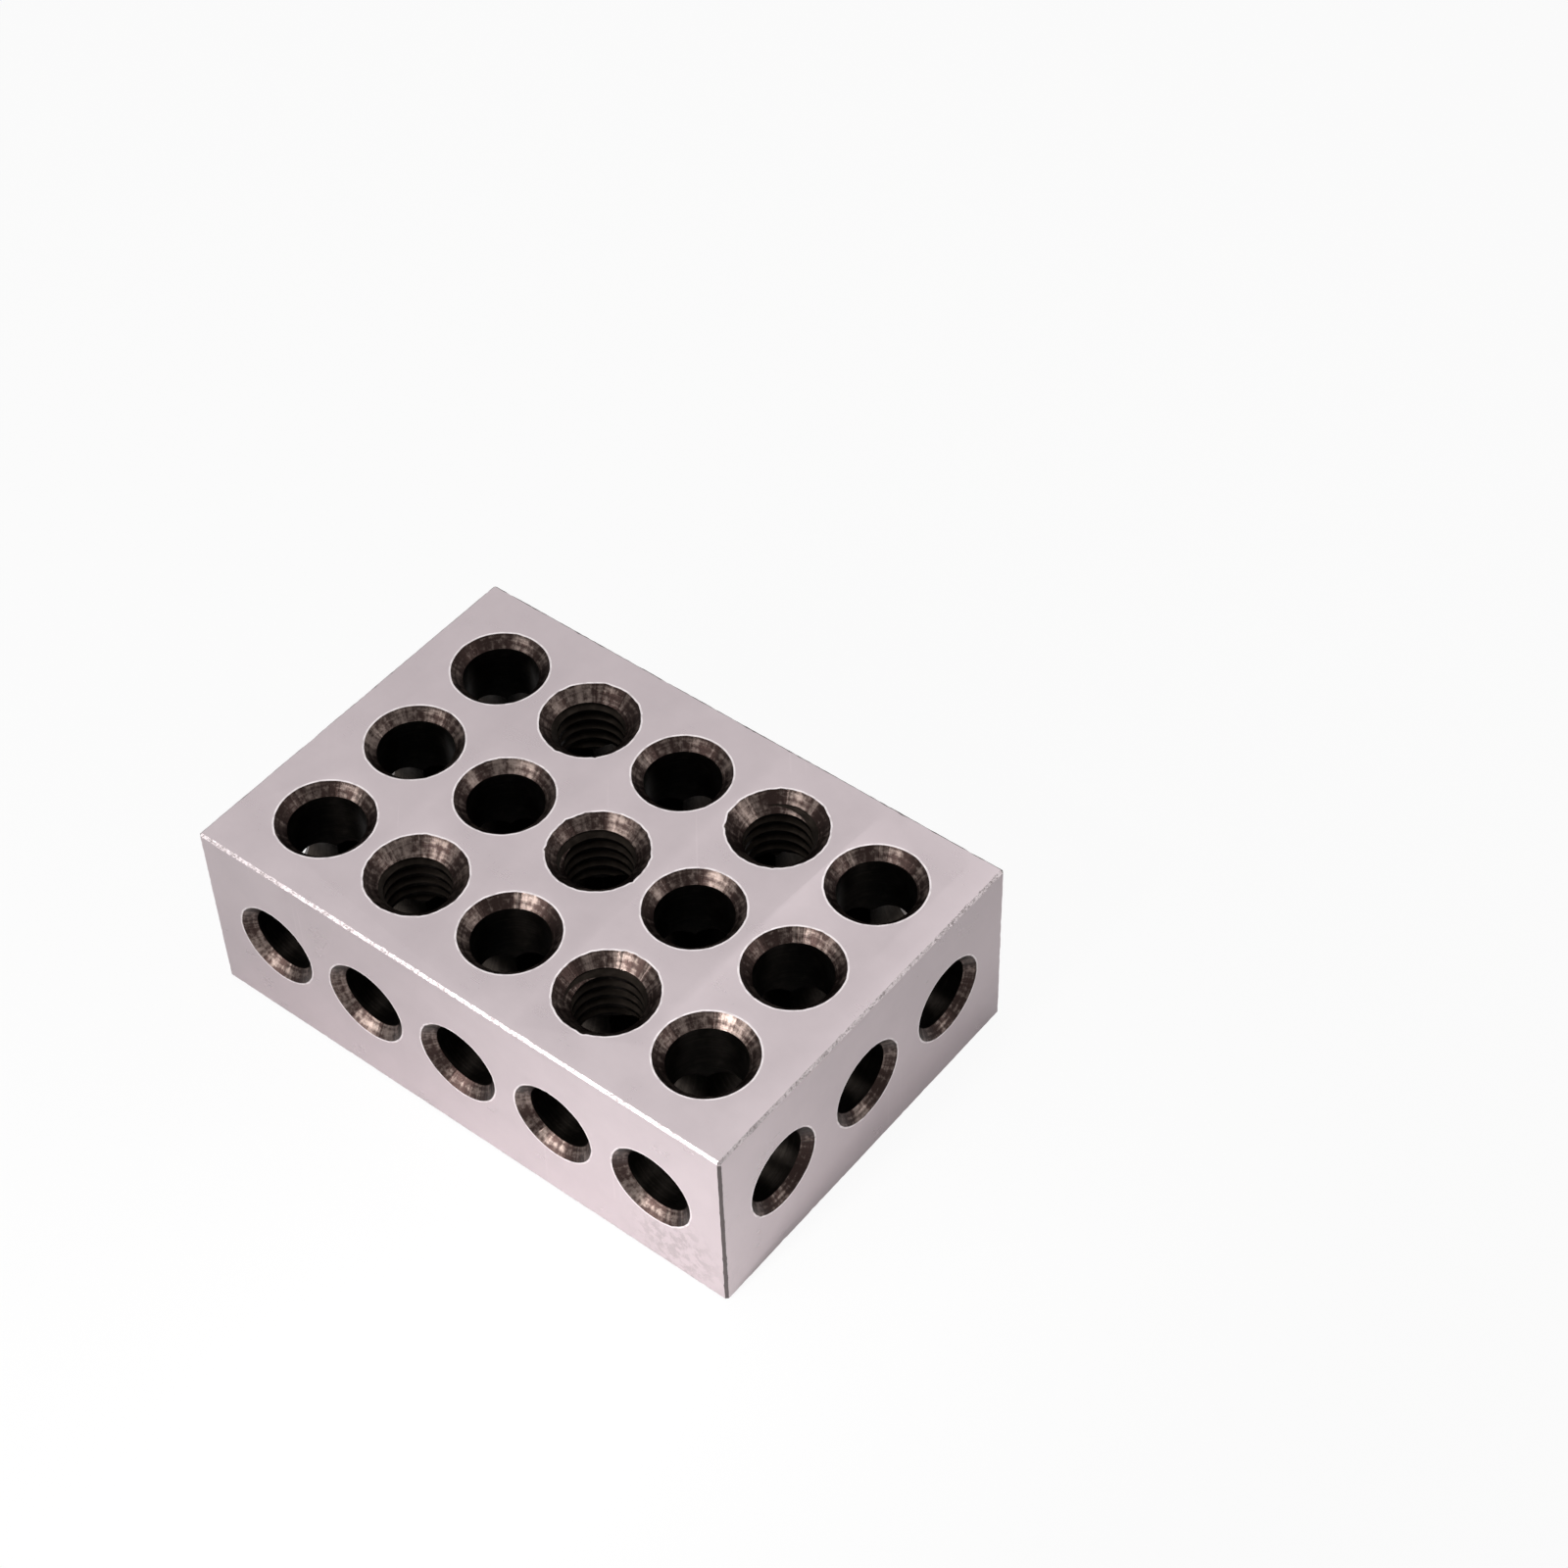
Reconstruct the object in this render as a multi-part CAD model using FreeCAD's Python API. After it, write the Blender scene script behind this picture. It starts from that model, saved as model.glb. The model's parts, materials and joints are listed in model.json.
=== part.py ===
# Setup block for a machinist's bench, in the one-two-three size: a single hardened and ground steel
# rectangle, one inch by two by three, drilled right through along all three axes. Every hole lies
# on one grid at mid-height, so the three directions meet at each crossing and the block is a
# lattice inside. Five of the upright holes, in a quincunx, are drilled for a 3/8-16 thread.
#
# Millimetres. The origin is the middle of the underside. +X runs along the length, +Y along the
# width, +Z up.
import FreeCAD, Part
import math
import os
from FreeCAD import Vector

# ---------------------------------------------------------------- driving dimensions
block_length = 76.2         # along X, three inches
block_width = 50.8          # along Y, two inches
block_height = 25.4         # along Z, one inch
edge_break = 0.45           # leg of the 45 degree chamfer ground along all twelve edges

column_pitch = 14.0         # hole to hole along X
row_pitch = 15.0            # hole to hole along Y
least_wall = 1.5            # steel kept between an outermost bore and the face beside it
least_land = 0.5            # flat face kept all round each countersink's mouth

plain_bore = 9.2            # holes through the height, drilled only
plain_sink = 1.3            # depth of their countersinks
tapped_bore = 8.0           # holes through the height, at the minor diameter of their thread
tapped_sink = 2.0           # deeper, so that the thread starts well below the face
cross_bore = 8.5            # holes through the width
cross_sink = 1.25
long_bore = 8.8             # holes through the length
long_sink = 1.1
sink_angle = 90.0           # included angle of every countersink

overshoot = 1.0             # how far each cutting tool stands out of the faces it opens


# ---------------------------------------------------------------- the grid of holes
def steps_each_side(span, pitch, bore):
    """How many holes stand beyond the middle one, on each side, with sound steel outside them."""
    return int((span / 2 - least_wall - bore / 2) / pitch)


mid_height = block_height / 2
widest_bore = max(plain_bore, tapped_bore)
column_steps = steps_each_side(block_length, column_pitch, widest_bore)
row_steps = steps_each_side(block_width, row_pitch, widest_bore)
columns = range(-column_steps, column_steps + 1)
rows = range(-row_steps, row_steps + 1)

# From a hole's axis to the nearest thing its mouth must clear: half way to the next hole in its
# face, or the chamfer along that face's edge.
end_room = block_length / 2 - edge_break - column_steps * column_pitch
side_room = block_width / 2 - edge_break - row_steps * row_pitch
height_room = mid_height - edge_break
upright_room = min(column_pitch / 2, row_pitch / 2, end_room, side_room)
cross_room = min(column_pitch / 2, end_room, height_room)
long_room = min(row_pitch / 2, side_room, height_room)


# ---------------------------------------------------------------- stock and cutting tools
def stock():
    """The ground rectangle with its twelve edges broken."""
    corner = Vector(-block_length / 2, -block_width / 2, 0)
    blank = Part.makeBox(block_length, block_width, block_height, corner)
    return blank.makeChamfer(edge_break, blank.Edges)


def hole_tool(bore, sink, room, depth, centre, direction):
    """The drill and its two countersinks as one turned solid, centred on the hole's middle.

    The half profile is a bore line with a cone line at each end. The cones run on past the faces
    at the same angle, so that the mouths are cut where cone and face really meet. A countersink
    is shallower than asked only where its mouth would leave too little land.
    """
    slope = math.tan(math.radians(sink_angle / 2))
    inner = bore / 2
    sunk = min(sink, (room - least_land - inner) / slope)
    outer = inner + (sunk + overshoot) * slope
    half = depth / 2
    profile = Part.makePolygon([
        Vector(0, 0, -half - overshoot),
        Vector(outer, 0, -half - overshoot),
        Vector(inner, 0, -half + sunk),
        Vector(inner, 0, half - sunk),
        Vector(outer, 0, half + overshoot),
        Vector(0, 0, half + overshoot),
        Vector(0, 0, -half - overshoot),
    ])
    tool = Part.Face(profile).revolve(Vector(0, 0, 0), Vector(0, 0, 1), 360)
    tool.Placement = FreeCAD.Placement(centre, FreeCAD.Rotation(Vector(0, 0, 1), direction))
    return tool


# ---------------------------------------------------------------- the three families of holes
def upright_tools():
    """Holes through the height, tapped where column and row are equally far from the middle."""
    tools = []
    for column in columns:
        for row in rows:
            tapped = abs(column) == abs(row)
            bore, sink = (tapped_bore, tapped_sink) if tapped else (plain_bore, plain_sink)
            centre = Vector(column * column_pitch, row * row_pitch, mid_height)
            tools.append(hole_tool(bore, sink, upright_room, block_height, centre, Vector(0, 0, 1)))
    return tools


def cross_tools():
    """Holes through the width, one under each column."""
    return [
        hole_tool(cross_bore, cross_sink, cross_room, block_width,
                  Vector(column * column_pitch, 0, mid_height), Vector(0, 1, 0))
        for column in columns
    ]


def long_tools():
    """Holes through the length, one under each row."""
    return [
        hole_tool(long_bore, long_sink, long_room, block_length,
                  Vector(0, row * row_pitch, mid_height), Vector(1, 0, 0))
        for row in rows
    ]


def setup_block():
    """The stock with every hole cut, as one solid."""
    return stock().cut(upright_tools() + cross_tools() + long_tools())


os.makedirs("parts", exist_ok=True)
setup_block().exportStep("parts/setup_block.step")
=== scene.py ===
import json
import math
from itertools import product

import bmesh
import bpy
import numpy as np
from mathutils import Matrix, Vector

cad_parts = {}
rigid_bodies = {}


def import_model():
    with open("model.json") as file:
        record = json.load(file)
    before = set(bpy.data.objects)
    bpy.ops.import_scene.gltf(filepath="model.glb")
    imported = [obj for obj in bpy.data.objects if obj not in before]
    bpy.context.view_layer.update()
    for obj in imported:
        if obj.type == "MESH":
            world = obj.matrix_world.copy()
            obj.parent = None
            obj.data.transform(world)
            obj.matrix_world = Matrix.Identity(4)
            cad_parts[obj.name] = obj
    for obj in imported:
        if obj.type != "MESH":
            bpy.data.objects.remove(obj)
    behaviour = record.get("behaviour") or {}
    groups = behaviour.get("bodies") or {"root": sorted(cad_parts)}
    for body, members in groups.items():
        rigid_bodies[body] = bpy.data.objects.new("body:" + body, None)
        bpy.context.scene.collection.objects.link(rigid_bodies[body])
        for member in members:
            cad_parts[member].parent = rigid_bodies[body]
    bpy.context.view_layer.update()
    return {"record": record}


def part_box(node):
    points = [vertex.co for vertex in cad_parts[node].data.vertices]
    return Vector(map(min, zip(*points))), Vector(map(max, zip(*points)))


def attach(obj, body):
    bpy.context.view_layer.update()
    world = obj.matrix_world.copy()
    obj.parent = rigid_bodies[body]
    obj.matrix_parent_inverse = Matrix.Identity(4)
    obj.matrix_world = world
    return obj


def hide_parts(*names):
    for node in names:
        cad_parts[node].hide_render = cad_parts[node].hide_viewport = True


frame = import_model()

# ======================================================================================
# The ground rectangle
# One bar of tool steel, hardened and then surface ground on all six faces to the inch sizes.
# Its twelve edges are broken by hand on a stone, so each chamfer wanders a little in width.
# ======================================================================================
low, high = (np.array(corner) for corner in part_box("setup_block"))
middle = (low + high) / 2
half_size = (high - low) / 2
mm = 0.001

edge_leg = 0.31 * mm         # leg of each chamfer
edge_step = 0.35 * mm        # spacing of the points along a chamfer's two borders
edge_wander = 0.10           # how far a border strays, as a share of the leg
nick_spacing = 4 * mm        # average distance from one nick in a border to the next
wave_lengths = (9.0, 3.1, 1.3)     # millimetres
fading = 0.02                # share of a border's length over which its stray fades at each end
any_turn = 6.3               # a random angle lies between 0 and this
GROUND, EDGE, SINK, BORE, THREAD, RIM = range(6)     # material slots of the finished block


def wander(distance, seed, nicks):
    """Stray of a hand-stoned border: three slow waves of random phase, plus a few short, deep
    nicks, each a bell curve at a random place. The result fades to nothing at both ends."""
    rng = np.random.default_rng(seed)
    span = distance[-1] - distance[0]
    waves = sum(
        rng.uniform(0.4, 1.0)
        * np.sin(2 * np.pi * distance / (length * mm) + rng.uniform(0, any_turn))
        for length in wave_lengths
    ) / 2
    places = rng.uniform(distance[0], distance[-1], nicks)[:, None]
    widths = rng.uniform(0.15, 0.5, nicks)[:, None] * mm
    depths = rng.uniform(0.8, 3.0, nicks)[:, None]
    pits = (depths * np.exp(-(((distance - places) / widths) ** 2))).sum(axis=0)
    ends = np.minimum(distance - distance[0], distance[-1] - distance) / (fading * span)
    return (waves + pits) * np.clip(ends, 0, 1)


def broken_box(half, leg, centre):
    """A box with chamfered edges as a closed surface. Each face is one flat polygon, each edge a
    strip between the borders of its two faces, and each corner a triangle. A border point lies
    in its face's plane, leg * (1 + stray) in from the edge."""
    points, faces, slots = [], [], []
    corner_at, border_at = {}, {}
    for signs in product((-1, 1), repeat=3):
        for face in range(3):
            place = np.array(signs) * (half - leg)
            place[face] = signs[face] * half[face]
            corner_at[signs, face] = len(points)
            points.append(place)
    for along in range(3):
        others = [(along + 1) % 3, (along + 2) % 3]
        count = int(2 * (half[along] - leg) / edge_step)
        distance = np.linspace(-(half[along] - leg), half[along] - leg, count)
        for side in product((-1, 1), repeat=2):
            for face, inward in (others, others[::-1]):
                sign = dict(zip(others, side))
                seed = 100 * along + 10 * (side[0] + 1) + (side[1] + 1) * 3 + face
                nicks = int(2 * half[along] / nick_spacing)
                stray = edge_wander * wander(distance, seed, nicks)
                line = np.zeros((count, 3))
                line[:, along] = distance
                line[:, face] = sign[face] * half[face]
                line[:, inward] = sign[inward] * (half[inward] - leg * (1 + stray))
                ends = []
                for end in (-1, 1):
                    signs = [0, 0, 0]
                    signs[along] = end
                    for other in others:
                        signs[other] = sign[other]
                    ends.append(corner_at[tuple(signs), face])
                first = len(points)
                points.extend(line[1:-1])
                inner = list(range(first, first + count - 2))
                border_at[along, tuple(sorted(sign.items())), face] = [ends[0], *inner, ends[1]]
            keys = tuple(sorted(sign.items()))
            one, two = (border_at[along, keys, face] for face in others)
            faces += [[a, b, d, c] for a, b, c, d in zip(one, one[1:], two, two[1:])]
            slots += [EDGE] * (count - 1)
    for face in range(3):
        across, up = (face + 1) % 3, (face + 2) % 3
        for sign in (-1, 1):
            def border(along, other, other_sign, turn):
                keys = tuple(sorted({face: sign, other: other_sign}.items()))
                return border_at[along, keys, face][::turn][:-1]
            loop = border(across, up, -1, 1) + border(up, across, 1, 1)
            loop += border(across, up, 1, -1) + border(up, across, -1, -1)
            faces.append(loop)
            slots.append(GROUND)
    for signs in product((-1, 1), repeat=3):
        faces.append([corner_at[signs, face] for face in range(3)])
        slots.append(EDGE)
    return np.array(points) + centre, faces, slots


def mesh_object(name, points, faces, slots):
    """A new mesh object with its normals turned outwards and one material index a face."""
    mesh = bpy.data.meshes.new(name)
    mesh.from_pydata(points, [], faces)
    mesh.polygons.foreach_set("material_index", np.array(slots, np.int32))
    work = bmesh.new()
    work.from_mesh(mesh)
    bmesh.ops.recalc_face_normals(work, faces=work.faces)
    work.to_mesh(mesh)
    work.free()
    made = bpy.data.objects.new(name, mesh)
    bpy.context.scene.collection.objects.link(made)
    return made


block = mesh_object("ground_block", *broken_box(half_size, edge_leg, middle))

# ======================================================================================
# The drilled holes
# Each is drilled right through and countersunk at both mouths before hardening. The countersink
# chattered as it cut, which leaves faint radial flutes, and the rim was rubbed over on a stone.
# ======================================================================================
holes = [m for m in frame["record"]["mounts"] if m["kind"] in ("bore", "threaded_hole")]
turns = 128                  # points around a hole
sink_rows = 5                # rings down a countersink
rim_width = 0.22 * mm        # the stoned rim, between the face and the countersink
rim_drop = 0.02 * mm
clear_of_face = 0.3 * mm     # how far each cutting tool stands out of the block
chatter = 0.012 * mm         # height of the flutes
flute_counts = np.arange(7, 34)    # how many times a wave of chatter may rise in one turn
flute_waves = 5
bore_ring = 0.5 * mm         # how far below each countersink the bore has a ring of points
raggedness = {"bore": 1.5, "threaded_hole": 4.5}     # stray of a mouth's border, times chatter
rim_nicks = 7                # short bites out of a mouth's border


def hole_basis(hole):
    """Columns are the hole's two cross directions and its axis."""
    axis = np.array(hole["axis"], float)
    first = np.roll(axis, 1)
    return np.column_stack([first, np.cross(axis, first), axis])


def hole_sizes(hole):
    """Bore radius, half the block's depth along the hole, and depth of a countersink."""
    axis = np.abs(np.array(hole["axis"], float))
    half_depth = float(half_size @ axis)
    return hole["dims"]["r_mm"] * mm, half_depth, half_depth - hole["dims"]["length_mm"] * mm / 2


def ring_surface(points):
    """Faces of rings of points, each ring joined to the next, with a flat cap at both ends."""
    rings, count = points.shape[:2]
    at = np.arange(rings * count).reshape(rings, count)
    after = np.roll(at, -1, axis=1)
    walls = np.stack([at[:-1], after[:-1], after[1:], at[1:]], axis=-1).reshape(-1, 4)
    return walls.tolist() + [at[0][::-1].tolist(), at[-1].tolist()]


def flutes(angle, rng):
    """Chatter around a countersink, between -1 and 1: the mean of a few sine waves, each with its
    own random count in a turn and random phase."""
    counts = rng.choice(flute_counts, flute_waves, replace=False)[:, None]
    phases = rng.uniform(0, 2 * np.pi, flute_waves)[:, None]
    return np.sin(counts * angle + phases).sum(axis=0) / flute_waves


def hole_cutter(hole, seed):
    """The hole as a solid of revolution. From the middle out, the radius is the bore's, then
    grows at 45 degrees by the countersink's depth, then at a shallow slope across the rim. Chatter
    is added to the radius down each cone, and a ragged border to it across each rim."""
    rng = np.random.default_rng(seed)
    bore, half_depth, sink = hole_sizes(hole)
    down = np.linspace(0, 1, sink_rows)
    radius = np.concatenate([[bore], bore + sink * down])
    height = half_depth - np.concatenate([[sink + bore_ring], sink * (1 - down)])
    height[-1] -= rim_drop
    radius = np.append(radius, radius[-1] + rim_width * (1 + clear_of_face / rim_drop))
    height = np.append(height, half_depth + clear_of_face)
    radius = np.concatenate([radius[::-1], radius])
    height = np.concatenate([-height[::-1], height])
    angle = np.linspace(0, 2 * np.pi, turns, endpoint=False) + rng.uniform(0, any_turn)
    ripple = np.zeros((len(radius), turns))
    low_rows, high_rows = slice(2, sink_rows), slice(-sink_rows, -2)
    ripple[low_rows] = flutes(angle, rng)
    ripple[high_rows] = flutes(angle, rng)
    for mouth, side in ((slice(-2, None), 1), (slice(0, 2), 2)):
        border = (angle - angle[0]) * (bore + sink)
        ripple[mouth] = raggedness[hole["kind"]] * wander(border, 2 * seed + side, rim_nicks)
    reach = radius[:, None] + chatter * ripple
    local = np.stack([
        reach * np.cos(angle),
        reach * np.sin(angle),
        np.broadcast_to(height[:, None], reach.shape),
    ], axis=-1)
    points = local.reshape(-1, 3) @ hole_basis(hole).T + np.array(hole["pos_m"])
    faces = ring_surface(local)
    bands = np.full(len(radius) - 1, SINK)
    bands[sink_rows:-sink_rows] = BORE
    bands[[0, -1]] = RIM
    return points, faces, np.repeat(bands, turns).tolist() + [SINK, SINK]


cutters = bpy.data.collections.new("cutters")


def add_cutter(name, points, faces, slots):
    """A cutter as an object that only the cut below sees."""
    made = mesh_object(name, points, faces, slots)
    bpy.context.scene.collection.objects.unlink(made)
    cutters.objects.link(made)


for number, hole in enumerate(holes):
    add_cutter("cutter_" + hole["name"], *hole_cutter(hole, number))

# ======================================================================================
# The tapped holes
# Five of the upright holes are tapped right through, 3/8 inch with sixteen threads to the inch.
# The tap leaves 60 degree flanks, a narrow flat at the bottom of the groove and, between turns,
# the wall that the drill left.
# ======================================================================================
thread_pitch = 25.4 / 16 * mm
thread_major = 9.525 / 2 * mm
root_flat = thread_pitch / 8
thread_turns = 16
thread_points = 72           # points in one turn
thread_run_out = 1.2 * mm    # depth below the lower mouth at which the groove is whole
half_thread_angle = math.radians(30)


def thread_cutter(hole, seed):
    """The groove as a solid screw. Three rows of points repeat each pitch: the inner edge where
    two flanks would meet, and both sides of the root flat. Along a row the height climbs one
    pitch a turn, so the last point of row j meets the first point of row j + 3."""
    rng = np.random.default_rng(seed)
    half_depth = hole_sizes(hole)[1]
    flank = (thread_pitch - root_flat) / 2
    inner = thread_major - flank / math.tan(half_thread_angle)
    radius = np.append(np.tile([inner, thread_major, thread_major], thread_turns), inner)
    climb = np.tile([0.0, flank, flank + root_flat], thread_turns)
    climb = np.append(climb + np.repeat(np.arange(thread_turns), 3) * thread_pitch,
                      thread_turns * thread_pitch)
    bottom = thread_run_out - thread_pitch - half_depth
    share = np.arange(thread_points) / thread_points
    angle = 2 * np.pi * share + rng.uniform(0, any_turn)
    local = np.stack([
        radius[:, None] * np.cos(angle),
        radius[:, None] * np.sin(angle),
        bottom + climb[:, None] + share * thread_pitch,
    ], axis=-1)
    rows = len(radius)
    at = np.arange(rows * thread_points).reshape(rows, thread_points)
    walls = np.stack([at[:-1, :-1], at[:-1, 1:], at[1:, 1:], at[1:, :-1]], axis=-1)
    seam = np.stack([at[:-4, -1], at[3:-1, 0], at[4:, 0], at[1:-3, -1]], axis=-1)
    foot = [*at[0], at[3, 0], at[2, 0], at[1, 0]]
    head = [*at[-1], at[-2, -1], at[-3, -1], at[-4, -1]]
    foot_middle, head_middle = rows * thread_points, rows * thread_points + 1
    ends = [[foot_middle, b, a] for a, b in zip(foot, foot[1:] + foot[:1])]
    ends += [[head_middle, a, b] for a, b in zip(head, head[1:] + head[:1])]
    middles = [[0, 0, bottom + thread_pitch / 2],
               [0, 0, bottom + (thread_turns + 0.5) * thread_pitch]]
    points = np.concatenate([local.reshape(-1, 3), middles])
    faces = walls.reshape(-1, 4).tolist() + seam.tolist() + ends
    return points @ hole_basis(hole).T + np.array(hole["pos_m"]), faces, [THREAD] * len(faces)


for number, hole in enumerate(holes):
    if hole["kind"] == "threaded_hole":
        add_cutter("tap_" + hole["name"], *thread_cutter(hole, 50 + number))

# ======================================================================================
# Cutting the block
# The finished block is the ground rectangle less every hole, as one closed mesh. Each corner of
# a hole's faces also carries its place in that hole, which the finishes below follow.
# ======================================================================================
outside_weight = 9.0               # how strongly a face beyond a hole's mouth counts against it
sharp_angle = math.radians(16)     # edges that bend by more than this stay sharp


def cut_mesh(solid, tools):
    """The solid less all the tools, as a new mesh that keeps their material indices."""
    cut = solid.modifiers.new("holes", "BOOLEAN")
    cut.operation = "DIFFERENCE"
    cut.operand_type = "COLLECTION"
    cut.collection = tools
    cut.solver = "MANIFOLD"
    cut.material_mode = "INDEX"
    graph = bpy.context.evaluated_depsgraph_get()
    return bpy.data.meshes.new_from_object(solid.evaluated_get(graph))


def read(items, name, width, kind=np.float32):
    """One property of every item of a mesh, as an array."""
    out = np.empty(len(items) * width, kind)
    items.foreach_get(name, out)
    return out.reshape(-1, width) if width > 1 else out


def place_in_hole(mesh):
    """For each face corner, its place in the hole that its face belongs to, as the distances
    across, across and along from the hole's middle, and that hole's number. A face belongs to
    the hole whose wall or cone passes nearest to the face's middle."""
    centres = read(mesh.polygons, "center", 3).astype(float)
    misfit, bases = [], []
    for hole in holes:
        bore, half_depth, sink = hole_sizes(hole)
        local = (centres - np.array(hole["pos_m"])) @ hole_basis(hole)
        depth = np.abs(local[:, 2])
        wall = bore + np.maximum(depth - half_depth + sink, 0)
        outside = np.maximum(depth - half_depth, 0)
        misfit.append(np.abs(np.hypot(local[:, 0], local[:, 1]) - wall) + outside_weight * outside)
        bases.append(hole_basis(hole))
    owner = np.argmin(misfit, axis=0)
    corner_owner = np.repeat(owner, read(mesh.polygons, "loop_total", 1, np.int32))
    corner_vertex = read(mesh.loops, "vertex_index", 1, np.int32)
    corners = read(mesh.vertices, "co", 3)[corner_vertex]
    middles = np.array([hole["pos_m"] for hole in holes])[corner_owner]
    local = np.einsum("ni,nij->nj", corners - middles, np.array(bases)[corner_owner])
    return local, corner_owner


finished = cut_mesh(block, cutters)
slots = read(finished.polygons, "material_index", 1, np.int32)
finished.polygons.foreach_set("use_smooth", slots >= SINK)
finished.set_sharp_from_angle(angle=sharp_angle)
finished.materials.clear()
finished.polygons.foreach_set("material_index", slots)
local, owner = place_in_hole(finished)
finished.attributes.new("in_hole", "FLOAT_VECTOR", "CORNER").data.foreach_set(
    "vector", local.astype(np.float32).ravel())
finished.attributes.new("hole_number", "FLOAT", "CORNER").data.foreach_set(
    "value", owner.astype(np.float32))
for spent in (block, *cutters.objects):
    bpy.data.objects.remove(spent)
bpy.data.collections.remove(cutters)
steel = bpy.data.objects.new("setup_block_steel", finished)
bpy.context.scene.collection.objects.link(steel)
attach(steel, "root")
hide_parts("setup_block")


# ======================================================================================
# Finish of the ground faces
# Satin steel, ground along the block's length and across its ends, with a warm grey tone and a
# faint mottle where coolant stood. Faint hairline scratches come from the bench, and a blotchy
# stain lies low on the long side, by the right end.
# ======================================================================================
class Wire:
    """A shader socket to reckon with. Operators on wires and numbers add Math nodes."""

    def __init__(self, tree, socket=None):
        self.tree = tree
        self.socket = socket

    def node(self, kind, settings=None, inputs=None, output=0):
        """A node of this type. Its settings are set first, then its sockets' values or links."""
        made = self.tree.nodes.new(kind)
        for name, value in (settings or {}).items():
            setattr(made, name, value)
        for key, value in (inputs or {}).items():
            if isinstance(value, Wire):
                self.tree.links.new(value.socket, made.inputs[key])
            else:
                made.inputs[key].default_value = value
        return Wire(self.tree, made.outputs[output])

    def math(self, operation, *values):
        """A Math node on wires and numbers."""
        return self.node("ShaderNodeMath", {"operation": operation}, dict(enumerate(values)))

    def __add__(self, other):
        return self.math("ADD", self, other)

    def __radd__(self, other):
        return self.math("ADD", other, self)

    def __sub__(self, other):
        return self.math("SUBTRACT", self, other)

    def __rsub__(self, other):
        return self.math("SUBTRACT", other, self)

    def __mul__(self, other):
        return self.math("MULTIPLY", self, other)

    def __rmul__(self, other):
        return self.math("MULTIPLY", other, self)

    def between(self, low_end, high_end):
        """0 below low_end, 1 above high_end, and smooth in between."""
        return self.node("ShaderNodeMapRange", {"interpolation_type": "SMOOTHSTEP"},
                         {"Value": self, "From Min": low_end, "From Max": high_end})

    def stretched(self, *factors):
        """A vector with each part multiplied by its own factor."""
        return self.node("ShaderNodeVectorMath", {"operation": "MULTIPLY"}, {0: self, 1: factors})

    def noise(self, scale, detail=2.0, roughness=0.5):
        """Noise of the vector, between 0 and 1."""
        return self.node("ShaderNodeTexNoise", None,
                         {"Vector": self, "Scale": scale, "Detail": detail,
                          "Roughness": roughness})

    def blend(self, one, other):
        """Colour one where the wire is 0, and colour other where it is 1. A Mix node's colours
        are its inputs 6 and 7 and its output 2."""
        return self.node("ShaderNodeMix", {"data_type": "RGBA"},
                         {"Factor": self, 6: one, 7: other}, 2)


def new_finish(name, metallic):
    """A material with a Principled shader, that shader and a bare wire in its tree."""
    made = bpy.data.materials.new(name)
    made.use_nodes = True
    shader = made.node_tree.nodes["Principled BSDF"]
    shader.inputs["Metallic"].default_value = metallic
    return made, shader, Wire(made.node_tree)


def plug(shader, **wires):
    """Links wires to the shader's sockets, a socket for each keyword, with _ for a space."""
    for name, wire in wires.items():
        wire.tree.links.new(wire.socket, shader.inputs[name.replace("_", " ")])


def bumped(height, depth):
    """The surface normal, raised by height times depth."""
    return height.node("ShaderNodeBump", None,
                       {"Height": height, "Distance": depth, "Strength": 1.0})


steel_light = (0.66, 0.575, 0.595, 1)
steel_dark = (0.59, 0.512, 0.532, 1)
steel_stain = (0.34, 0.295, 0.30, 1)
stain_place = (float(high[0]) - 7 * mm, float(low[1]), 4 * mm)
stain_size = 9 * mm
scratch_size = (0.6 * mm, 40 * mm, 40 * mm)     # across a scratch, and the other two ways
scratch_turn = (0.3, 0, 0.7)                    # radians
fine_line, long_line = 2600, 40                 # grinding lines, waves a metre across and along


def ground_finish():
    """Grinding lines are noise stretched along X, or along Y on the two ends. The tone mixes two
    sizes of mottle with those lines. Scratches are noise stretched in a slanted plane and kept
    where it peaks, and the stain is blotches that fade with distance from its place."""
    made, shader, wire = new_finish("ground_steel", 1.0)
    place = wire.node("ShaderNodeTexCoord", output="Object")
    facing = wire.node("ShaderNodeTexCoord", output="Normal")
    facing_x = facing.node("ShaderNodeSeparateXYZ", None, {0: facing}, "X")
    on_end = facing_x.math("ABSOLUTE", facing_x).between(0.5, 0.6)
    along = place.stretched(long_line, fine_line, fine_line)
    across = place.stretched(fine_line, long_line, fine_line)
    lined = on_end.node("ShaderNodeMix", {"data_type": "VECTOR"},
                        {"Factor": on_end, 4: along, 5: across}, 1)
    lines = lined.noise(1.0, 3.0, 0.6)
    mottle = place.noise(170, 4.0, 0.6)
    cloud = place.noise(38)
    tone = (mottle * 0.6 + cloud * 0.7 + lines * 0.05 - 0.18).between(0.2, 0.8)
    slanted = place.node("ShaderNodeMapping", {"vector_type": "TEXTURE"},
                         {"Vector": place, "Rotation": scratch_turn, "Scale": scratch_size})
    scratches = slanted.noise(1.0, 1.0).between(0.70, 0.76) * cloud.between(0.50, 0.58)
    away = place.node("ShaderNodeVectorMath", {"operation": "DISTANCE"},
                      {0: place, 1: stain_place}, 1)
    blotches = place.noise(800, 3.0, 0.7).between(0.42, 0.62)
    stain = (1 - away.between(stain_size / 4, stain_size)) * blotches
    steel_tone = (tone + scratches).blend(steel_dark, steel_light)
    plug(shader, Base_Color=(stain * 0.4).blend(steel_tone, steel_stain),
         Roughness=0.24 + mottle * 0.07 + lines * 0.02 + stain * 0.1,
         Normal=bumped(mottle, 0.003 * mm))
    return made


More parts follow.
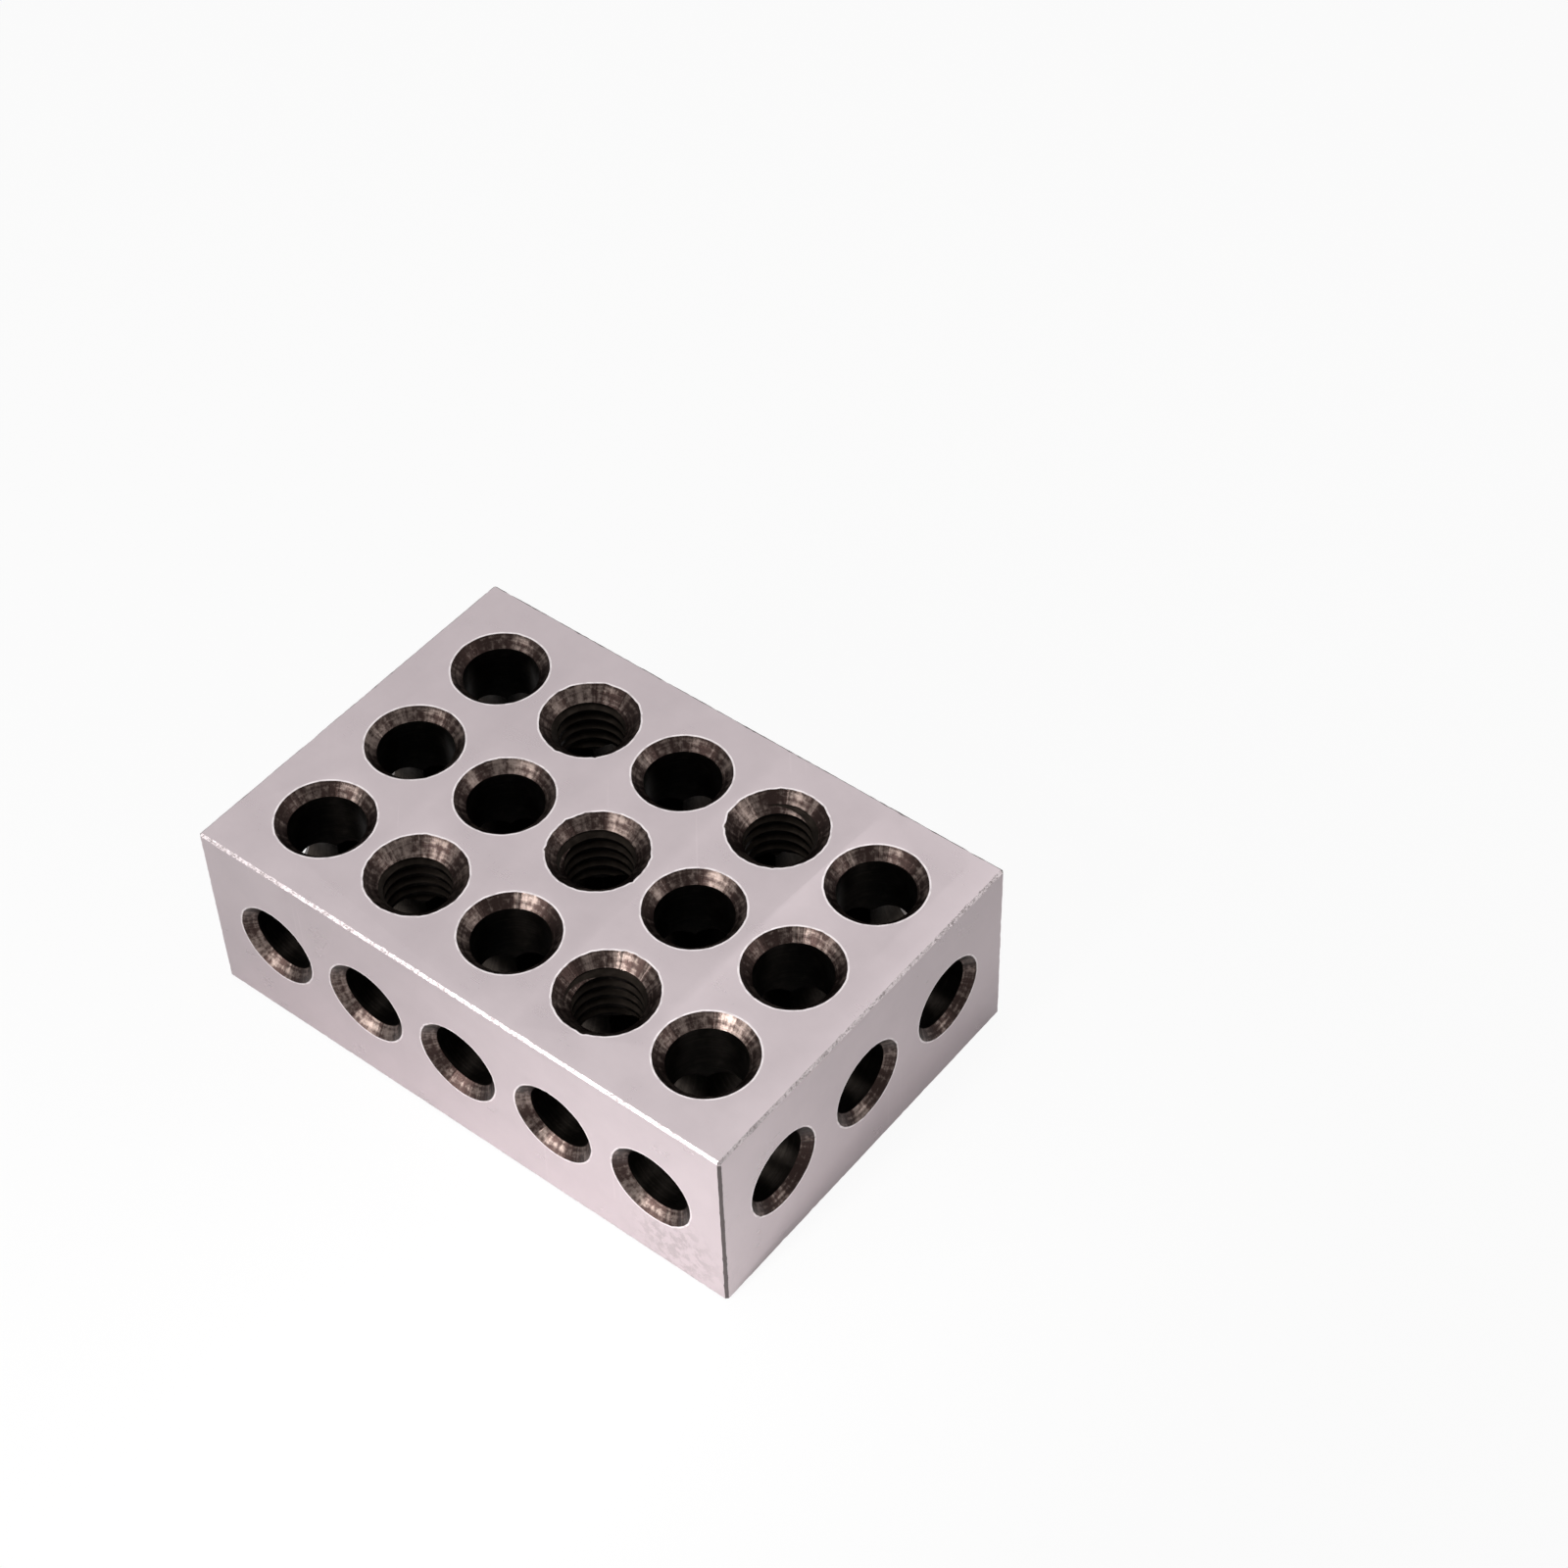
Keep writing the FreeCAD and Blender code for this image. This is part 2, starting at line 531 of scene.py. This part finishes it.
# ======================================================================================
# Finish of the broken edges
# Stoned by hand after grinding, so bare metal shows with specks of dark scale left in it. The
# upright edges, the top's back edge and the underside's carry painted shade: more and darker
# scale.
# ======================================================================================
edge_bright = (0.56, 0.50, 0.51, 1)
edge_scale = (0.34, 0.295, 0.295, 1)
edge_scale_in_painted_shade = (0.17, 0.145, 0.145, 1)


def edge_finish():
    """Scale is fine specks and slow patches. Away from the three top edges, painted shade adds
    more of it and makes it darker."""
    made, shader, wire = new_finish("stoned_edge_with_painted_shade", 1.0)
    place = wire.node("ShaderNodeTexCoord", output="Object")
    height = place.node("ShaderNodeSeparateXYZ", None, {0: place}, "Z")
    depth = place.node("ShaderNodeSeparateXYZ", None, {0: place}, "Y")
    top, back = float(high[2]), float(high[1])
    # Painted shade: every edge but the top's front and end edges gets more and darker scale.
    top_edge_mask = height.between(top - 0.7 * mm, top - 0.5 * mm)
    painted_edge_shade = 1 - top_edge_mask * (1 - depth.between(back - 0.5 * mm, back))
    specks = place.noise(3200, 3.0, 0.7)
    patches = place.noise(260)
    scale = (specks * 1.1 + patches * 0.15 + painted_edge_shade * 0.42).between(0.54, 0.82)
    scale_colour_and_shade = painted_edge_shade.blend(edge_scale, edge_scale_in_painted_shade)
    plug(shader, Base_Color=scale.blend(edge_bright, scale_colour_and_shade),
         Roughness=0.42 + scale * 0.2,
         Normal=bumped(specks, 0.04 * mm))
    return made


# ======================================================================================
# Finish inside the holes
# The hardening furnace left a brown-black scale in the countersinks, broken by bright flutes
# where the cutter chattered. The bores and threads are darker, with the drill's fine rings.
# ======================================================================================
sink_scale = (0.042, 0.027, 0.024, 1)
sink_bare = (0.25, 0.195, 0.172, 1)
bore_scale = (0.018, 0.015, 0.013)
thread_scale = (0.014, 0.011, 0.009)
worn_share = 2.4                   # how much lighter the worn parts of a bore are
rim_dull = (0.66, 0.59, 0.60, 1)
# Painted highlight: this bright rim colour stands in for the glint on each mouth's lip.
rim_painted_highlight = (0.90, 0.83, 0.84, 1)
hole_shift = 7.31                  # moves the pattern on, so that no two holes are alike


def inside_wire(wire):
    """The place in a hole, as the distances across, across and along from the hole's middle."""
    return wire.node("ShaderNodeAttribute", {"attribute_name": "in_hole"}, None, "Vector")


def turn_wire(inside):
    """The direction round a hole, as a unit vector moved along by the hole's number."""
    number = inside.node("ShaderNodeAttribute", {"attribute_name": "hole_number"}, None, "Fac")
    flat = inside.stretched(1, 1, 0)
    turn = flat.node("ShaderNodeVectorMath", {"operation": "NORMALIZE"}, {0: flat})
    shift = number.node("ShaderNodeCombineXYZ", None, {2: number * hole_shift})
    return turn.node("ShaderNodeVectorMath", {"operation": "ADD"}, {0: turn, 1: shift})


def sink_finish():
    """Bare metal shows where streaks and sectors round the hole, spots and rings add up high."""
    made, shader, wire = new_finish("countersink_scale", 1.0)
    inside = inside_wire(wire)
    turn = turn_wire(inside)
    streaks = turn.noise(7, 4.0, 0.6)
    sectors = turn.noise(1.6)
    spots = inside.noise(1500, 4.0, 0.65)
    rings = inside.stretched(100, 100, 4500).noise(1.0)
    bare = (streaks * 0.45 + sectors * 0.45 + spots * 0.5 + rings * 0.3).between(0.78, 1.05)
    plug(shader, Base_Color=bare.blend(sink_scale, sink_bare),
         Roughness=0.22 + spots * 0.18,
         Normal=bumped(streaks * 0.6 + spots * 0.25 + rings * 0.15, 0.14 * mm))
    return made


def bore_finish(name, colour, depth):
    """Dark scale, worn lighter where the drill's rings and soft spots add up high."""
    made, shader, wire = new_finish(name, 1.0)
    inside = inside_wire(wire)
    rings = inside.stretched(120, 120, 3800).noise(1.0, 3.0, 0.6)
    spots = inside.noise(700, 3.0, 0.6)
    lighter = tuple(worn_share * part for part in colour)
    tone = (rings * 0.5 + spots * 0.6).between(0.45, 0.8)
    plug(shader, Base_Color=tone.blend((*colour, 1), (*lighter, 1)),
         Roughness=0.32 + spots * 0.2,
         Normal=bumped(rings, depth))
    return made


def rim_finish():
    """The lip around each mouth, given a painted highlight, duller in specks."""
    made, shader, wire = new_finish("rim_with_painted_highlight", 1.0)
    place = wire.node("ShaderNodeTexCoord", output="Object")
    specks = place.noise(900)
    painted_highlight_mask = specks.between(0.25, 0.6)
    plug(shader, Base_Color=painted_highlight_mask.blend(rim_dull, rim_painted_highlight),
         Roughness=0.30 + specks * 0.12)
    return made


finished.materials.append(ground_finish())
finished.materials.append(edge_finish())
finished.materials.append(sink_finish())
finished.materials.append(bore_finish("bore_scale", bore_scale, 0.01 * mm))
finished.materials.append(bore_finish("thread_scale", thread_scale, 0.006 * mm))
finished.materials.append(rim_finish())

# ======================================================================================
# The bench
# A plain pale floor. The camera sees it as near white, reflections see it a little lighter than
# it is lit, and it keeps the block's soft shadow.
# ======================================================================================
bench_reach = 3.0            # from the middle to each side
bench_colour = (0.86, 0.85, 0.85, 1)
bench_glow = 0.93            # share of plain white that the camera sees
bench_mirrored = 0.18        # the same in reflections


def bench_finish():
    """A matt floor mixed with plain white, in a share that depends on the kind of ray."""
    made, shader, wire = new_finish("bench_white", 0.0)
    shader.inputs["Roughness"].default_value = 0.7
    shader.inputs["Base Color"].default_value = bench_colour
    seen = wire.node("ShaderNodeLightPath", output="Is Camera Ray")
    mirrored = wire.node("ShaderNodeLightPath", output="Is Glossy Ray")
    glow = wire.node("ShaderNodeEmission", None, {"Color": (1, 1, 1, 1), "Strength": 1.0})
    through = wire.node("ShaderNodeLightPath", output="Is Transmission Ray")
    share = seen * bench_glow + mirrored * bench_mirrored + through * bench_glow
    mixed = wire.node("ShaderNodeMixShader", None,
                      {0: share, 1: Wire(made.node_tree, shader.outputs[0]), 2: glow})
    output = made.node_tree.nodes["Material Output"]
    made.node_tree.links.new(mixed.socket, output.inputs["Surface"])
    return made


corners = [(-bench_reach, -bench_reach, 0), (bench_reach, -bench_reach, 0),
           (bench_reach, bench_reach, 0), (-bench_reach, bench_reach, 0)]
bench_mesh = bpy.data.meshes.new("bench")
bench_mesh.from_pydata(corners, [], [[0, 1, 2, 3]])
bench_mesh.materials.append(bench_finish())
bench = bpy.data.objects.new("bench", bench_mesh)
bpy.context.scene.collection.objects.link(bench)

# ======================================================================================
# Light and camera
# A studio: a pale room and seven square soft lamps, five of them above, behind and to the far
# right for the top and the ends, and two low in front and to the left for the long side. The
# eighth lamp is a soft-edged spot that brightens the near corner.
# ======================================================================================
room_level = 0.22            # how strongly the room lights the block
room_mirrored = 0.30         # what reflections see on top of that


def lamp(name, place, aim, size, power, spread=None):
    """A square area lamp that points from place at aim, or a soft spot lamp of that spread."""
    data = bpy.data.lights.new(name, "SPOT" if spread else "AREA")
    if spread:
        data.spot_size = math.radians(spread)
        data.spot_blend = 1.0
        data.shadow_soft_size = size
    else:
        data.size = size
    data.energy = power
    made = bpy.data.objects.new(name, data)
    made.location = place
    made.rotation_euler = (Vector(aim) - Vector(place)).to_track_quat("-Z", "Y").to_euler()
    bpy.context.scene.collection.objects.link(made)


lamp("lamp_overhead", (-0.10, 0.0, 0.40), middle, 0.22, 0.15)
lamp("lamp_left", (-0.10, -0.06, 0.34), middle, 0.15, 0.06)
lamp("lamp_back", (-0.22, 0.19, 0.28), middle, 0.34, 0.11)
lamp("lamp_back_near", (-0.01, 0.18, 0.30), middle, 0.11, 0.06)
lamp("lamp_far", (0.27, 0.16, 0.17), middle, 0.09, 0.10)
lamp("lamp_key", (-0.16, -0.27, 0.17), middle, 0.09, 0.07)
lamp("lamp_front", (-0.05, -0.17, 0.06), (0.02, -0.04, 0), 0.12, 0.17)
lamp("lamp_corner", (0.00, -0.34, 0.26), (0.028, -0.040, 0), 0.04, 11.0, spread=12)

room = bpy.data.worlds.new("room")
room.use_nodes = True
room_wire = Wire(room.node_tree)
background = room.node_tree.nodes["Background"]
background.inputs["Color"].default_value = (1, 1, 1, 1)
seen = room_wire.node("ShaderNodeLightPath", output="Is Camera Ray")
mirrored = room_wire.node("ShaderNodeLightPath", output="Is Glossy Ray")
through = room_wire.node("ShaderNodeLightPath", output="Is Transmission Ray")
unlit = 1 - room_level
plug(background,
     Strength=room_level + seen * unlit + mirrored * room_mirrored + through * unlit)
bpy.context.scene.world = room

camera_place = (0.17279, -0.17575, 0.30390)
camera_pan, camera_dip, camera_roll = 39.579, 47.535, -1.86      # degrees
eye = bpy.data.cameras.new("camera")
eye.sensor_width = 36.0
eye.lens = 75.65
eye.clip_start = 0.01
camera = bpy.data.objects.new("camera", eye)
camera.matrix_world = (
    Matrix.Translation(camera_place)
    @ Matrix.Rotation(math.radians(camera_pan), 4, "Z")
    @ Matrix.Rotation(math.radians(90 - camera_dip), 4, "X")
    @ Matrix.Rotation(math.radians(camera_roll), 4, "Z")
)
bpy.context.scene.collection.objects.link(camera)
bpy.context.scene.camera = camera
bpy.context.scene.view_settings.view_transform = "Standard"
